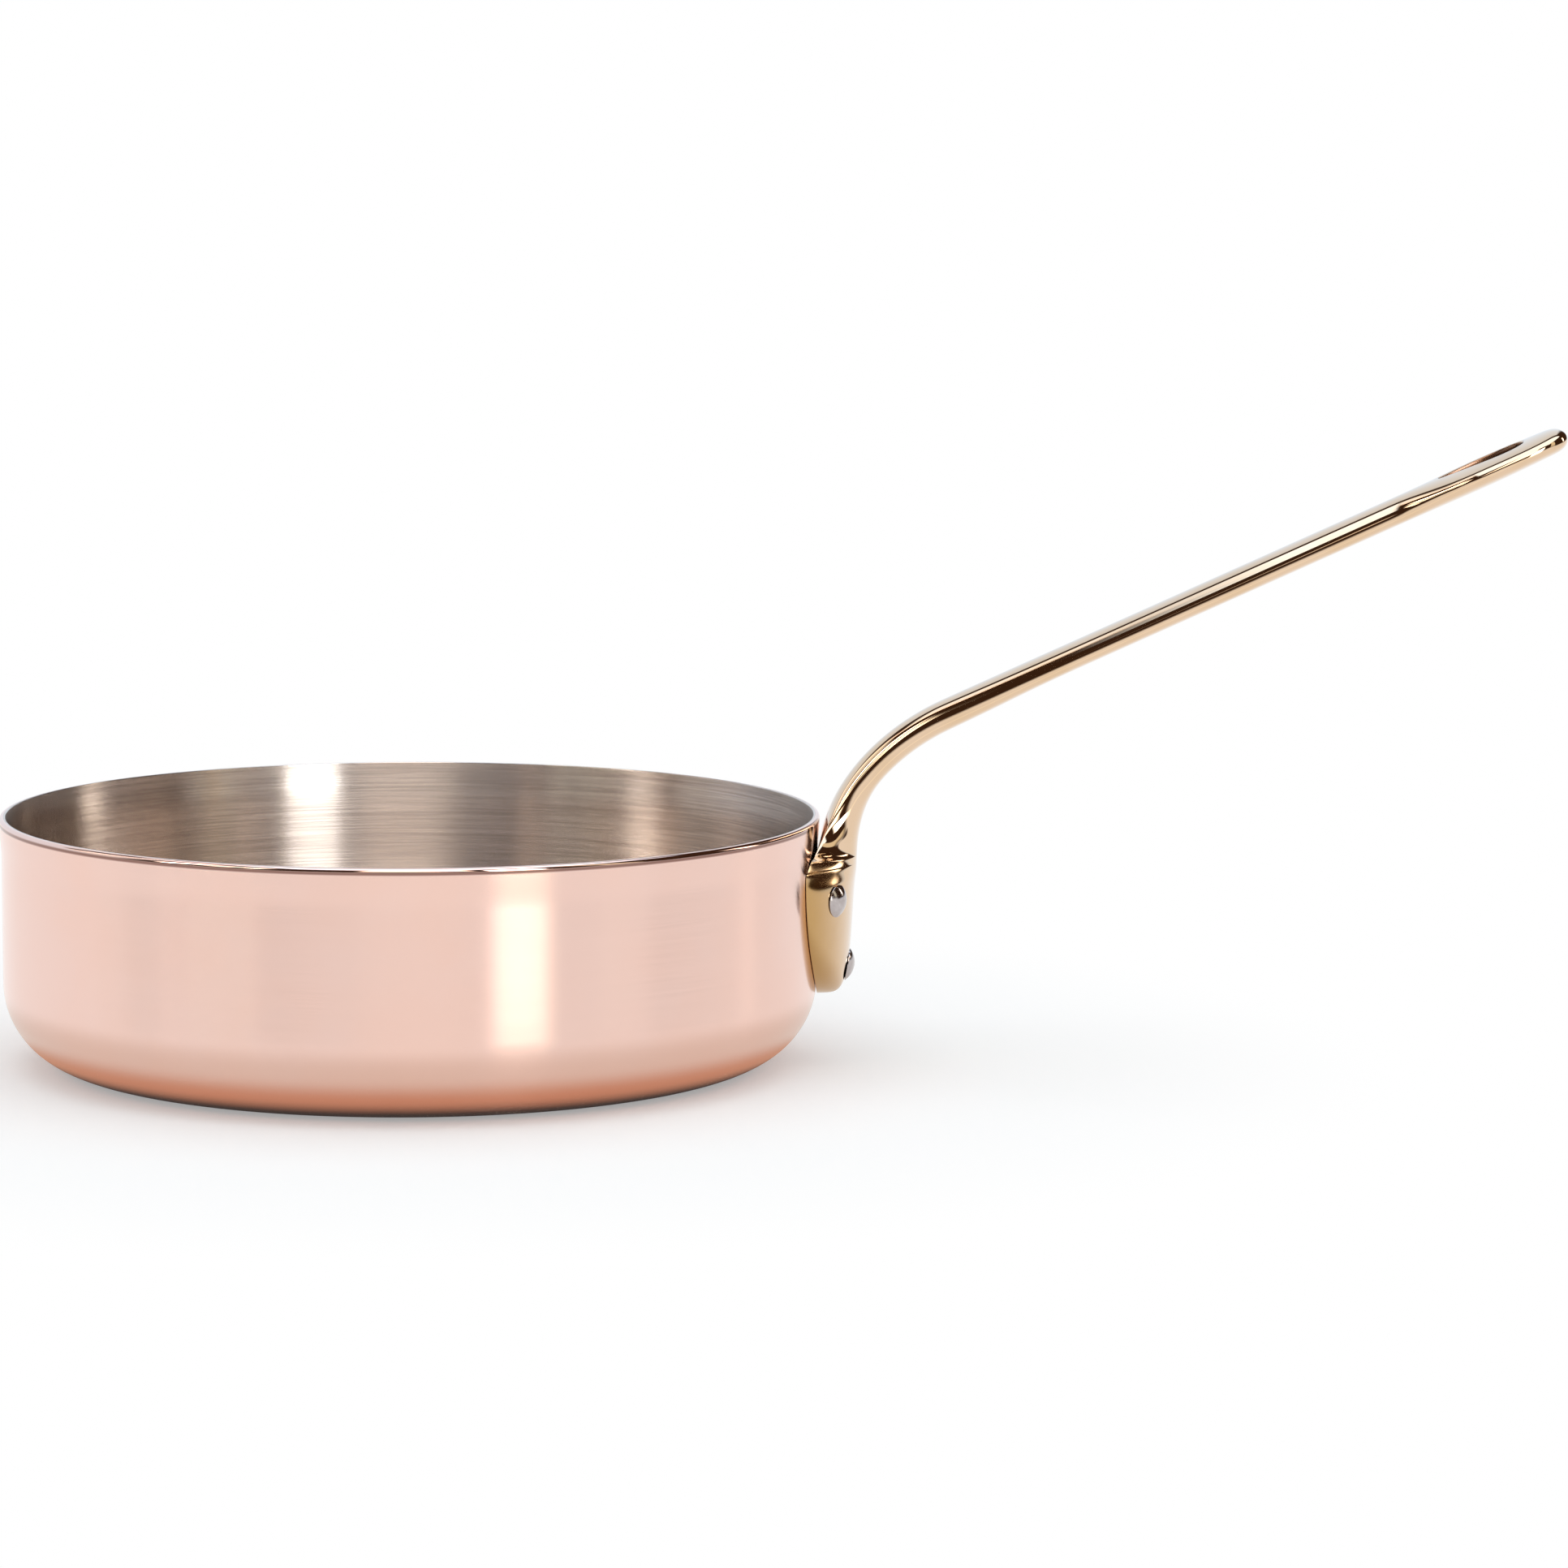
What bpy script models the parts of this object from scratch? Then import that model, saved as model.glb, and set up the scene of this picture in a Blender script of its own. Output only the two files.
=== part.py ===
# Saute pan: a copper body with a bonded steel lining, a cast brass handle and three steel rivets.
# Metres, +Z up. The origin is the centre of the flat base, and the handle points along +X.

import math

import bmesh
import bpy
from mathutils import Matrix, Vector

# Pan body
PAN_RADIUS = 0.1206          # outside of the straight wall
PAN_HEIGHT = 0.0741          # base to rim
CORNER_RADIUS = 0.0249       # outside, where the wall turns into the base
COPPER_WALL = 0.0014
LINING_WALL = 0.0004
BOND_GAP = 0.0002            # between copper and lining
RIM_FLARE = 0.0008           # how far the pouring lip stands out past the wall
RIM_FLARE_HEIGHT = 0.0120    # height over which the wall leans out
RIM_ROUND = 0.0012           # rounding of the rim's outer edge
LINING_ROUND = 0.0003        # rounding of the rim's inner edge

# Handle plate, which follows the wall
SEAT_GAP = 0.0003            # between faces that touch on the real pan
PLATE_HALF_WIDTH = 0.0290
PLATE_TOP_BELOW_RIM = 0.0143
PLATE_WIDEST_BELOW_TOP = 0.0048
PLATE_BOTTOM_BELOW_RIVET = 0.0086
PLATE_CROWN = 0.0110         # thickness at the middle of the widest place
PLATE_LEAN = 0.055           # how much the outer face leans out on its way up
PLATE_FOOT_BLUNTNESS = 5     # 2 is an ellipse: how suddenly the foot thins out to its edge
PLATE_CORNER = 0.0015        # radius of the upper corners, seen from the front
PLATE_FULLNESS = 1.30        # of its section: 2 is a parabola, 1 an ellipse, 0 a rectangle
SHOULDER_RISE = 0.0028       # from the corner up to the fillet
SHOULDER_FILLET = 0.0160     # how far the neck widens towards the shoulder
FILLET_RISE = 0.0230         # height over which it does
SHOULDER_CROWN = 0.0116      # thickness where the neck begins
SHOULDER_SWELL = 0.0068      # run under the plate's top over which it thickens
SHOULDER_FULLNESS = 2.40     # of the section where the plate narrows into the neck
SHOULDER_EASING = 0.0110     # run over which the section turns into the neck's
SHIELD_SHARPNESS = 0.63      # 0.5 is a round lower edge, 1 a pointed one

# Neck and grip
NECK_REACH = 0.0365          # from the wall out to the start of the grip, along the top line
NECK_LIFT = 0.0483           # from the top of the plate up to the start of the grip
NECK_PULL_LOW = 0.0215       # how long the neck stays upright
NECK_PULL_HIGH = 0.0215      # how early it leans into the grip
NECK_THICKNESS = 0.0088
NECK_HALF_WIDTH = 0.0072
NECK_WAIST = 0.0340          # run from the plate up to the slim part of the neck
GRIP_PITCH = math.radians(24.5)
GRIP_LENGTH = 0.1995
GRIP_THICKNESS = 0.0077
GRIP_HALF_WIDTH = 0.0093
GRIP_WIDENING = 0.0350       # run over which the neck grows to the grip's width
EDGE_SHARE = 0.67            # how far below the top line the widest line lies, in thicknesses
SECTION_FULLNESS = 0.80      # 1 is an ellipse, 0 a rectangle

# Wider end with the hanging slot
PADDLE_HALF_WIDTH = 0.0155
PADDLE_EDGE_SHARE = 0.48     # as the share along the grip, but flatter on top
PADDLE_TO_TIP = 0.0290       # from the widest place to the tip
PADDLE_WIDENING = 0.0260     # run over which the grip widens
TIP_BLUNTNESS = 2.8          # 2 is an ellipse
TIP_ROUNDING = 0.0060        # run over which the tip rounds off in thickness
TIP_FULLNESS = 3             # 2 rounds off at once, more stays thick for longer
TIP_THICKNESS = 0.0070
SLOT_TO_TIP = 0.0125
SLOT_LENGTH = 0.0265
SLOT_HALF_WIDTH = 0.0066
SLOT_END = 0.0011            # half width of the blunt ends
SLOT_OPENING = 0.8           # how the narrow end opens: 0.5 at once, 1 like a wedge
SLOT_CLOSING = 3             # how late the round end closes
SLOT_EASING = 0.0130         # run before the slot over which the surface lines turn to its edge

# Rivets
UPPER_RIVET_TO_SIDE = 0.0112 # from an upper rivet's axis to the side of the plate
UPPER_RIVET_BELOW_PLATE_TOP = 0.0093
LOWER_RIVET_ABOVE_CORNER = 0.0039
SHANK_RADIUS = 0.0029
RIVET_FIT = 0.0003           # radial clearance in the holes
OUTER_HEAD_RADIUS = 0.0048
OUTER_HEAD_HEIGHT = 0.0020
INNER_HEAD_RADIUS = 0.0055
INNER_HEAD_HEIGHT = 0.0018
HEAD_BITE = 0.0008           # how far the shank runs into the outer head
HEAD_FLAT = 0.0002           # depth of the flat in the plate under each outer head

# Resolution
PAN_STEPS = 72
CORNER_STEPS = 7
FLARE_STEPS = 7
ROUND_STEPS = 4
RIVET_STEPS = 24
DOME_STEPS = 5
HALF_COLUMNS = 5
FOOT_RINGS = 10
PLATE_CORNER_RINGS = 3
SHOULDER_RINGS = 3           # along the sloping shoulder
FILLET_RINGS = 8
NECK_RINGS = 8
GRIP_RINGS = 10
PADDLE_RINGS = 4
SLOT_RINGS = 10
TIP_RINGS = 7
FOOT_START = math.radians(5)     # the first ring stands off the very foot, so that it has a width
TIP_END = math.radians(84)       # and the last one stands off the very tip
NECK_SAMPLES = 200
SEAT_TRIES = 20
MERGE = 1e-7

LINING_OFFSET = COPPER_WALL + BOND_GAP
WALL = LINING_OFFSET + LINING_WALL
PLATE_BACK = PAN_RADIUS + SEAT_GAP
PLATE_TOP = PAN_HEIGHT - PLATE_TOP_BELOW_RIM
PLATE_WIDEST = PLATE_TOP - PLATE_WIDEST_BELOW_TOP
LOWER_RIVET_Z = CORNER_RADIUS + LOWER_RIVET_ABOVE_CORNER
UPPER_RIVET_Z = PLATE_TOP - UPPER_RIVET_BELOW_PLATE_TOP
UPPER_RIVET_ANGLE = math.asin((PLATE_HALF_WIDTH - UPPER_RIVET_TO_SIDE) / PAN_RADIUS)
PLATE_BOTTOM = LOWER_RIVET_Z - PLATE_BOTTOM_BELOW_RIVET
HALF_TURN = math.pi


def clear_scene():
    for obj in list(bpy.data.objects):
        bpy.data.objects.remove(obj)


def make_material(name, colour, roughness, metallic=1.0):
    material = bpy.data.materials.new(name)
    material.use_nodes = True
    shader = material.node_tree.nodes["Principled BSDF"]
    shader.inputs["Base Color"].default_value = (*colour, 1.0)
    shader.inputs["Roughness"].default_value = roughness
    shader.inputs["Metallic"].default_value = metallic
    return material


def object_from(bm, name, material=None, sharp_angle=35):
    bmesh.ops.recalc_face_normals(bm, faces=bm.faces)
    mesh = bpy.data.meshes.new(name)
    bm.to_mesh(mesh)
    bm.free()
    mesh.shade_smooth()
    mesh.set_sharp_from_angle(angle=math.radians(sharp_angle))
    obj = bpy.data.objects.new(name, mesh)
    if material:
        mesh.materials.append(material)
    bpy.context.scene.collection.objects.link(obj)
    return obj


def hide_helper(obj):
    obj.hide_render = True
    obj.display_type = "WIRE"


def add_boolean(obj, other, operation):
    modifier = obj.modifiers.new(f"{operation.lower()}_{other.name}", "BOOLEAN")
    modifier.operation = operation
    modifier.solver = "EXACT"
    modifier.object = other


def turned(profile, steps):
    """A closed body turned round Z from (radius, z) points that start and end on the axis."""
    bm = bmesh.new()
    verts = [bm.verts.new((radius, 0, z)) for radius, z in profile]
    edges = [bm.edges.new(pair) for pair in zip(verts, verts[1:])]
    bmesh.ops.spin(
        bm,
        geom=verts + edges,
        cent=(0, 0, 0),
        axis=(0, 0, 1),
        angle=2 * math.pi,
        steps=steps,
        use_merge=True,
    )
    bmesh.ops.remove_doubles(bm, verts=bm.verts, dist=MERGE)
    return bm


def ease(value):
    """0 below 0, 1 above 1, and a smooth step between."""
    value = min(max(value, 0.0), 1.0)
    return value * value * (3 - 2 * value)


def arc(steps, start=0.0, end=HALF_TURN / 2):
    return [start + (end - start) * step / steps for step in range(steps + 1)]


# Pan body

def flare_at(z):
    return RIM_FLARE * ease((z - PAN_HEIGHT) / RIM_FLARE_HEIGHT + 1)


def wall_radius(z, offset):
    """Radius of the surface that lies offset inside the outer one, at a height."""
    drop = CORNER_RADIUS - z
    if drop <= 0:
        return PAN_RADIUS - offset + flare_at(z)
    reach = max((CORNER_RADIUS - offset) ** 2 - drop**2, 0.0)
    return PAN_RADIUS - CORNER_RADIUS + math.sqrt(reach)


def wall_line(offset, top):
    """Points up one surface of the pan, from the axis to the height of its top."""
    inner_corner = CORNER_RADIUS - offset
    centre = PAN_RADIUS - CORNER_RADIUS
    points = [(0.0, offset)]
    for angle in arc(CORNER_STEPS):
        points.append((
            centre + inner_corner * math.sin(angle),
            CORNER_RADIUS - inner_corner * math.cos(angle),
        ))
    flare_foot = PAN_HEIGHT - RIM_FLARE_HEIGHT
    for step in range(FLARE_STEPS + 1):
        z = flare_foot + (top - flare_foot) * step / FLARE_STEPS
        points.append((wall_radius(z, offset), z))
    return points


def rounded_top(edge_radius, rounding, inward):
    """A quarter round at the rim, from the side of the sheet onto its top."""
    side = -1 if inward else 1
    return [
        (
            edge_radius - side * rounding * (1 - math.cos(angle)),
            PAN_HEIGHT - rounding * (1 - math.sin(angle)),
        )
        for angle in arc(ROUND_STEPS)[1:]
    ]


def make_copper_body(material):
    outside = wall_line(0.0, PAN_HEIGHT - RIM_ROUND)
    outside += rounded_top(outside[-1][0], RIM_ROUND, inward=False)
    inside = wall_line(COPPER_WALL, PAN_HEIGHT)
    return object_from(turned(inside + outside[::-1], PAN_STEPS), "copper_body", material)


def make_steel_lining(material):
    inside = wall_line(WALL, PAN_HEIGHT - LINING_ROUND)
    inside += rounded_top(inside[-1][0], LINING_ROUND, inward=True)
    outside = wall_line(LINING_OFFSET, PAN_HEIGHT)
    return object_from(turned(inside + outside[::-1], PAN_STEPS), "steel_lining", material)


# Handle: one loft along its top line, which runs up the wall, round the neck and along the grip

def neck_controls():
    low = Vector((PLATE_BACK, PLATE_TOP))
    high = low + Vector((NECK_REACH, NECK_LIFT))
    lean = Vector((math.cos(GRIP_PITCH), math.sin(GRIP_PITCH)))
    return low, low + Vector((0, NECK_PULL_LOW)), high - NECK_PULL_HIGH * lean, high


def neck_curve(t):
    """Point and direction on the neck's Bezier curve."""
    a, b, c, d = neck_controls()
    rest = 1 - t
    point = rest**3 * a + 3 * rest * rest * t * b + 3 * rest * t * t * c + t**3 * d
    slope = rest * rest * (b - a) + 2 * rest * t * (c - b) + t * t * (d - c)
    return point, slope.normalized()


def neck_table():
    """Running length at evenly spaced parameters of the neck's curve."""
    lengths = [0.0]
    last = neck_curve(0.0)[0]
    for step in range(1, NECK_SAMPLES + 1):
        point = neck_curve(step / NECK_SAMPLES)[0]
        lengths.append(lengths[-1] + (point - last).length)
        last = point
    return lengths


NECK_LENGTHS = neck_table()
NECK_START = PLATE_TOP - PLATE_BOTTOM
GRIP_START = NECK_START + NECK_LENGTHS[-1]
TIP = GRIP_START + GRIP_LENGTH
PADDLE = TIP - PADDLE_TO_TIP
SLOT_FAR = TIP - SLOT_TO_TIP
SLOT_NEAR = SLOT_FAR - SLOT_LENGTH


def path_at(run):
    """Point (x, z) and direction of the handle's top line, a run away from the foot of the plate."""
    if run <= NECK_START:
        return Vector((PLATE_BACK, PLATE_BOTTOM + run)), Vector((0, 1))
    if run >= GRIP_START:
        end, lean = neck_curve(1.0)
        return end + (run - GRIP_START) * lean, lean
    along = run - NECK_START
    step = next(i for i in range(NECK_SAMPLES) if NECK_LENGTHS[i + 1] >= along)
    share = (along - NECK_LENGTHS[step]) / (NECK_LENGTHS[step + 1] - NECK_LENGTHS[step])
    return neck_curve((step + share) / NECK_SAMPLES)


def plate_share(run):
    """1 at the foot of the plate, 0 from its widest place upwards."""
    widest = PLATE_WIDEST - PLATE_BOTTOM
    return max((widest - run) / widest, 0.0)


def plate_half_width(run):
    return PLATE_HALF_WIDTH * (1 - plate_share(run) ** 2) ** SHIELD_SHARPNESS


def thickness_at(run):
    if run <= NECK_START:
        crown = PLATE_CROWN + PLATE_LEAN * (run - PLATE_WIDEST + PLATE_BOTTOM)
        swell = ease((run - NECK_START + SHOULDER_SWELL) / SHOULDER_SWELL)
        crown += (SHOULDER_CROWN - crown) * swell
        foot = 1 - plate_share(run) ** PLATE_FOOT_BLUNTNESS
        return crown * foot ** (1 / PLATE_FOOT_BLUNTNESS)
    waist = ease((run - NECK_START) / NECK_WAIST)
    slim = ease((run - GRIP_START) / GRIP_WIDENING)
    thick = SHOULDER_CROWN + (NECK_THICKNESS - SHOULDER_CROWN) * waist
    thick += (GRIP_THICKNESS - NECK_THICKNESS) * slim
    taper = ease((run - PADDLE) / PADDLE_TO_TIP)
    thick += (TIP_THICKNESS - GRIP_THICKNESS) * taper
    into_tip = max((run - TIP + TIP_ROUNDING) / TIP_ROUNDING, 0.0)
    return thick * math.sqrt(1 - into_tip**TIP_FULLNESS)


def fullness_at(run):
    """How the section's faces fall to its sides: 1 is an ellipse, 0 a rectangle."""
    near_top = ease((run - NECK_START + SHOULDER_SWELL) / SHOULDER_SWELL)
    plate = PLATE_FULLNESS + (SHOULDER_FULLNESS - PLATE_FULLNESS) * near_top
    into_neck = ease((run - NECK_START) / SHOULDER_EASING)
    return plate + (SECTION_FULLNESS - plate) * into_neck


def paddle_share(run):
    """0 along the grip, 1 from the widest place of its end onwards."""
    return ease((run - PADDLE + PADDLE_WIDENING) / PADDLE_WIDENING)


def half_width_at(run):
    """Half width of the neck, the grip and the wider end."""
    grip_share = ease((run - GRIP_START + GRIP_WIDENING) / (2 * GRIP_WIDENING))
    width = NECK_HALF_WIDTH + (GRIP_HALF_WIDTH - NECK_HALF_WIDTH) * grip_share
    width += (PADDLE_HALF_WIDTH - GRIP_HALF_WIDTH) * paddle_share(run)
    past = max((run - PADDLE) / PADDLE_TO_TIP, 0.0)
    return width * (1 - past**TIP_BLUNTNESS) ** (1 / TIP_BLUNTNESS)


def slot_half_width(run):
    """Teardrop: narrow towards the pan, round towards the tip."""

    def shape(share):
        return share**SLOT_OPENING * math.sqrt(1 - share**SLOT_CLOSING)

    share = (run - SLOT_NEAR) / SLOT_LENGTH
    if not 0 <= share <= 1:
        return SLOT_END
    fullest = (2 * SLOT_OPENING / (2 * SLOT_OPENING + SLOT_CLOSING)) ** (1 / SLOT_CLOSING)
    return SLOT_END + (SLOT_HALF_WIDTH - SLOT_END) * shape(share) / shape(fullest)


def plain_columns(half_width):
    return [
        half_width * math.sin(HALF_TURN / 2 * column / HALF_COLUMNS)
        for column in range(HALF_COLUMNS + 1)
    ]


def column_places(run, half_width):
    """Distances from the middle at which a section has points: near the slot they follow its edge."""
    plain = plain_columns(half_width)
    near = ease((run - SLOT_NEAR + SLOT_EASING) / SLOT_EASING)
    far = ease((SLOT_FAR - run) / SLOT_TO_TIP + 1)
    pinch = near * far
    if pinch == 0:
        return plain
    slot = min(slot_half_width(run), plain[1]) if pinch < 1 else slot_half_width(run)
    rest = half_width - slot
    places = [0.0]
    for column in range(1, HALF_COLUMNS + 1):
        share = math.sin(HALF_TURN / 2 * (column - 1) / (HALF_COLUMNS - 1))
        places.append(slot + rest * share)
    return [a + (b - a) * pinch for a, b in zip(plain, places)]


def section(run, half_width):
    """One closed ring of points: down the outer face from +Y to -Y, and back along the inner face."""
    thickness = thickness_at(run)
    edge_share = EDGE_SHARE * ease((run - NECK_START) / NECK_WAIST)
    edge_share += (PADDLE_EDGE_SHARE - EDGE_SHARE) * paddle_share(run)
    wrap = 1 - ease((run - NECK_START - SHOULDER_RISE) / FILLET_RISE)
    sink = (GRIP_THICKNESS - thickness) / 2 if run > PADDLE else 0.0
    point, along = path_at(run)
    outward = Vector((along.y, -along.x))
    half = column_places(run, half_width)
    across = half[::-1] + [-y for y in half[1:]]

    def place(y, depth):
        curve = math.sqrt(PLATE_BACK**2 - y * y) - PLATE_BACK
        spot = point + outward * (sink + depth + wrap * curve)
        return spot.x, y, spot.y

    def dome(y):
        return max(1 - (y / half_width) ** 2, 0.0) ** (fullness_at(run) / 2)

    edge = edge_share * thickness
    outer = [place(y, edge + (thickness - edge) * dome(y)) for y in across]
    inner = [place(y, edge - edge * dome(y)) for y in across[-2:0:-1]]
    return outer + inner


def handle_stations():
    """(run, half width) of each section, from the foot of the plate to the tip."""
    stations = []
    widest = PLATE_WIDEST - PLATE_BOTTOM
    for angle in arc(FOOT_RINGS, FOOT_START):
        run = widest * (1 - math.cos(angle))
        stations.append((run, plate_half_width(run)))
    corner_foot = NECK_START - PLATE_CORNER
    stations.append(((widest + corner_foot) / 2, PLATE_HALF_WIDTH))
    for angle in arc(PLATE_CORNER_RINGS):
        stations.append((
            corner_foot + PLATE_CORNER * math.sin(angle),
            PLATE_HALF_WIDTH - PLATE_CORNER * (1 - math.cos(angle)),
        ))
    fillet_foot = NECK_START + SHOULDER_RISE
    corner_half_width = PLATE_HALF_WIDTH - PLATE_CORNER
    fillet_half_width = NECK_HALF_WIDTH + SHOULDER_FILLET
    for step in range(1, SHOULDER_RINGS):
        share = step / SHOULDER_RINGS
        stations.append((
            NECK_START + SHOULDER_RISE * share,
            corner_half_width + (fillet_half_width - corner_half_width) * share,
        ))
    for angle in arc(FILLET_RINGS):
        stations.append((
            fillet_foot + FILLET_RISE * (1 - math.cos(angle)),
            NECK_HALF_WIDTH + SHOULDER_FILLET * (1 - math.sin(angle)),
        ))
    paddle_foot = PADDLE - PADDLE_WIDENING
    stations += spread(fillet_foot + FILLET_RISE, GRIP_START, NECK_RINGS)
    stations += spread(GRIP_START, paddle_foot, GRIP_RINGS)
    stations += spread(paddle_foot, SLOT_NEAR, PADDLE_RINGS)
    for angle in arc(SLOT_RINGS, 0, HALF_TURN)[1:]:
        run = SLOT_NEAR + SLOT_LENGTH * (1 - math.cos(angle)) / 2
        stations.append((run, half_width_at(run)))
    for angle in arc(TIP_RINGS, 0, TIP_END)[1:]:
        run = SLOT_FAR + SLOT_TO_TIP * math.sin(angle)
        stations.append((run, half_width_at(run)))
    return stations


def spread(start, end, count):
    runs = [start + (end - start) * step / count for step in range(1, count + 1)]
    return [(run, half_width_at(run)) for run in runs]


def make_handle(material):
    bm = bmesh.new()
    stations = handle_stations()
    rings = [[bm.verts.new(co) for co in section(*station)] for station in stations]
    size = len(rings[0])
    slot_faces = []
    slot_columns = {HALF_COLUMNS - 1, HALF_COLUMNS, 3 * HALF_COLUMNS - 1, 3 * HALF_COLUMNS}
    slot_foot = len(rings) - 1 - TIP_RINGS - SLOT_RINGS
    for count, (ring, above) in enumerate(zip(rings, rings[1:])):
        for column in range(size):
            after = (column + 1) % size
            face = bm.faces.new((ring[column], ring[after], above[after], above[column]))
            if column in slot_columns and slot_foot <= count < slot_foot + SLOT_RINGS:
                slot_faces.append(face)
    bm.faces.new(rings[0])
    bm.faces.new(rings[-1])
    bmesh.ops.delete(bm, geom=slot_faces, context="FACES")
    rim = [edge for edge in bm.edges if edge.is_boundary]
    bmesh.ops.bridge_loops(bm, edges=rim)
    return object_from(bm, "handle", material)


# Rivets

def plate_face(y, z):
    """x of the plate's outer face at a place on it."""
    run = z - PLATE_BOTTOM
    share = 1 - (y / plate_half_width(run)) ** 2
    curve = math.sqrt(PLATE_BACK**2 - y * y)
    return curve + thickness_at(run) * max(share, 0.0) ** (fullness_at(run) / 2)


def plate_normal(y, z, step=0.0005):
    slope_y = (plate_face(y + step, z) - plate_face(y - step, z)) / (2 * step)
    slope_z = (plate_face(y, z + step) - plate_face(y, z - step)) / (2 * step)
    return Vector((1, -slope_y, -slope_z)).normalized()


def seat_on_plate(angle, z):
    """Distance from the axis at which a rivet that runs outwards at an angle leaves the plate."""
    radius = PLATE_BACK + PLATE_CROWN
    for _ in range(SEAT_TRIES):
        over = plate_face(radius * math.sin(angle), z) - radius * math.cos(angle)
        radius += over / 2     # half steps, which settle on a curved face
    return radius


def inner_seat(z):
    """Distance from the axis at which an inner head clears the lining's curved wall."""
    tightest = wall_radius(z - INNER_HEAD_RADIUS, WALL)
    return math.sqrt(tightest**2 - INNER_HEAD_RADIUS**2) - SEAT_GAP


def dome_line(radius, height):
    """(radius, z) from a head's rim up to its top on the axis: part of a sphere."""
    ball = (radius**2 + height**2) / (2 * height)
    widest = math.asin(min(radius / ball, 1.0))
    points = []
    for step in range(DOME_STEPS + 1):
        angle = widest * (1 - step / DOME_STEPS)
        points.append((ball * math.sin(angle), height - ball * (1 - math.cos(angle))))
    points[-1] = (0.0, height)
    return points


def frame_along(direction, origin):
    return Matrix.Translation(origin) @ direction.to_track_quat("Z", "Y").to_matrix().to_4x4()


def outer_seat(angle, z):
    """Frame on the flat under an outer head, square to the plate's face there."""
    spot = Vector((math.cos(angle), math.sin(angle), 0)) * seat_on_plate(angle, z)
    normal = plate_normal(spot.y, z)
    return frame_along(normal, spot + Vector((0, 0, z)) - HEAD_FLAT * normal)


def rivet_places():
    return {
        "rivet_upper_front": (-UPPER_RIVET_ANGLE, UPPER_RIVET_Z),
        "rivet_upper_back": (UPPER_RIVET_ANGLE, UPPER_RIVET_Z),
        "rivet_lower": (0.0, LOWER_RIVET_Z),
    }


def make_rivet(name, angle, z, material):
    outward = Vector((math.cos(angle), math.sin(angle), 0))
    seat_in = inner_seat(z)
    seat = outer_seat(angle, z)
    head = [(0.0, SEAT_GAP)]
    head += [(r, SEAT_GAP + height) for r, height in dome_line(OUTER_HEAD_RADIUS, OUTER_HEAD_HEIGHT)]
    outer_head = object_from(turned(head, RIVET_STEPS), f"{name}_head")
    outer_head.data.transform(seat)
    hide_helper(outer_head)

    inside = dome_line(INNER_HEAD_RADIUS, INNER_HEAD_HEIGHT)
    stem = seat_on_plate(angle, z) + HEAD_BITE - seat_in
    profile = [(radius, -height) for radius, height in inside[::-1]]
    profile += [(SHANK_RADIUS, 0.0), (SHANK_RADIUS, stem), (0.0, stem)]
    rivet = object_from(turned(profile, RIVET_STEPS), name, material)
    rivet.data.transform(frame_along(outward, outward * seat_in + Vector((0, 0, z))))
    add_boolean(rivet, outer_head, "UNION")
    return rivet


def cylinder_cutter(name, radius, low, high, frame):
    bm = bmesh.new()
    bmesh.ops.create_cone(
        bm,
        cap_ends=True,
        segments=RIVET_STEPS,
        radius1=radius,
        radius2=radius,
        depth=high - low,
        matrix=Matrix.Translation((0, 0, (low + high) / 2)),
    )
    cutter = object_from(bm, name)
    cutter.data.transform(frame)
    hide_helper(cutter)
    return cutter


def drill(handle, sheets, name, angle, z):
    """The rivet's hole through all that it joins, and the flat under its outer head."""
    outward = Vector((math.cos(angle), math.sin(angle), 0))
    start = inner_seat(z) - INNER_HEAD_RADIUS
    end = seat_on_plate(angle, z) + OUTER_HEAD_RADIUS
    frame = frame_along(outward, Vector((0, 0, z)))
    hole = cylinder_cutter(f"{name}_hole", SHANK_RADIUS + RIVET_FIT, start, end, frame)
    for obj in (handle, *sheets):
        add_boolean(obj, hole, "DIFFERENCE")
    flat_radius = OUTER_HEAD_RADIUS + RIVET_FIT
    flat = cylinder_cutter(f"{name}_flat", flat_radius, 0, OUTER_HEAD_RADIUS, outer_seat(angle, z))
    add_boolean(handle, flat, "DIFFERENCE")


def main():
    clear_scene()
    copper = make_material("polished_copper", (0.90, 0.50, 0.36), 0.18)
    steel = make_material("brushed_steel", (0.62, 0.60, 0.57), 0.32)
    brass = make_material("polished_brass", (0.86, 0.62, 0.34), 0.12)
    rivet_steel = make_material("rivet_steel", (0.58, 0.56, 0.55), 0.22)
    body = make_copper_body(copper)
    lining = make_steel_lining(steel)
    handle = make_handle(brass)
    for name, (angle, z) in rivet_places().items():
        make_rivet(name, angle, z, rivet_steel)
        drill(handle, (body, lining), name, angle, z)


main()
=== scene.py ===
# The looks of the saute pan: copper shell, brushed steel lining, brass handle and rivets, on a pale floor.
# Metres, +Z up. The handle points along +X and the camera looks along +Y.

import math

import bmesh
import bpy
from mathutils import Matrix, Vector


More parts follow.
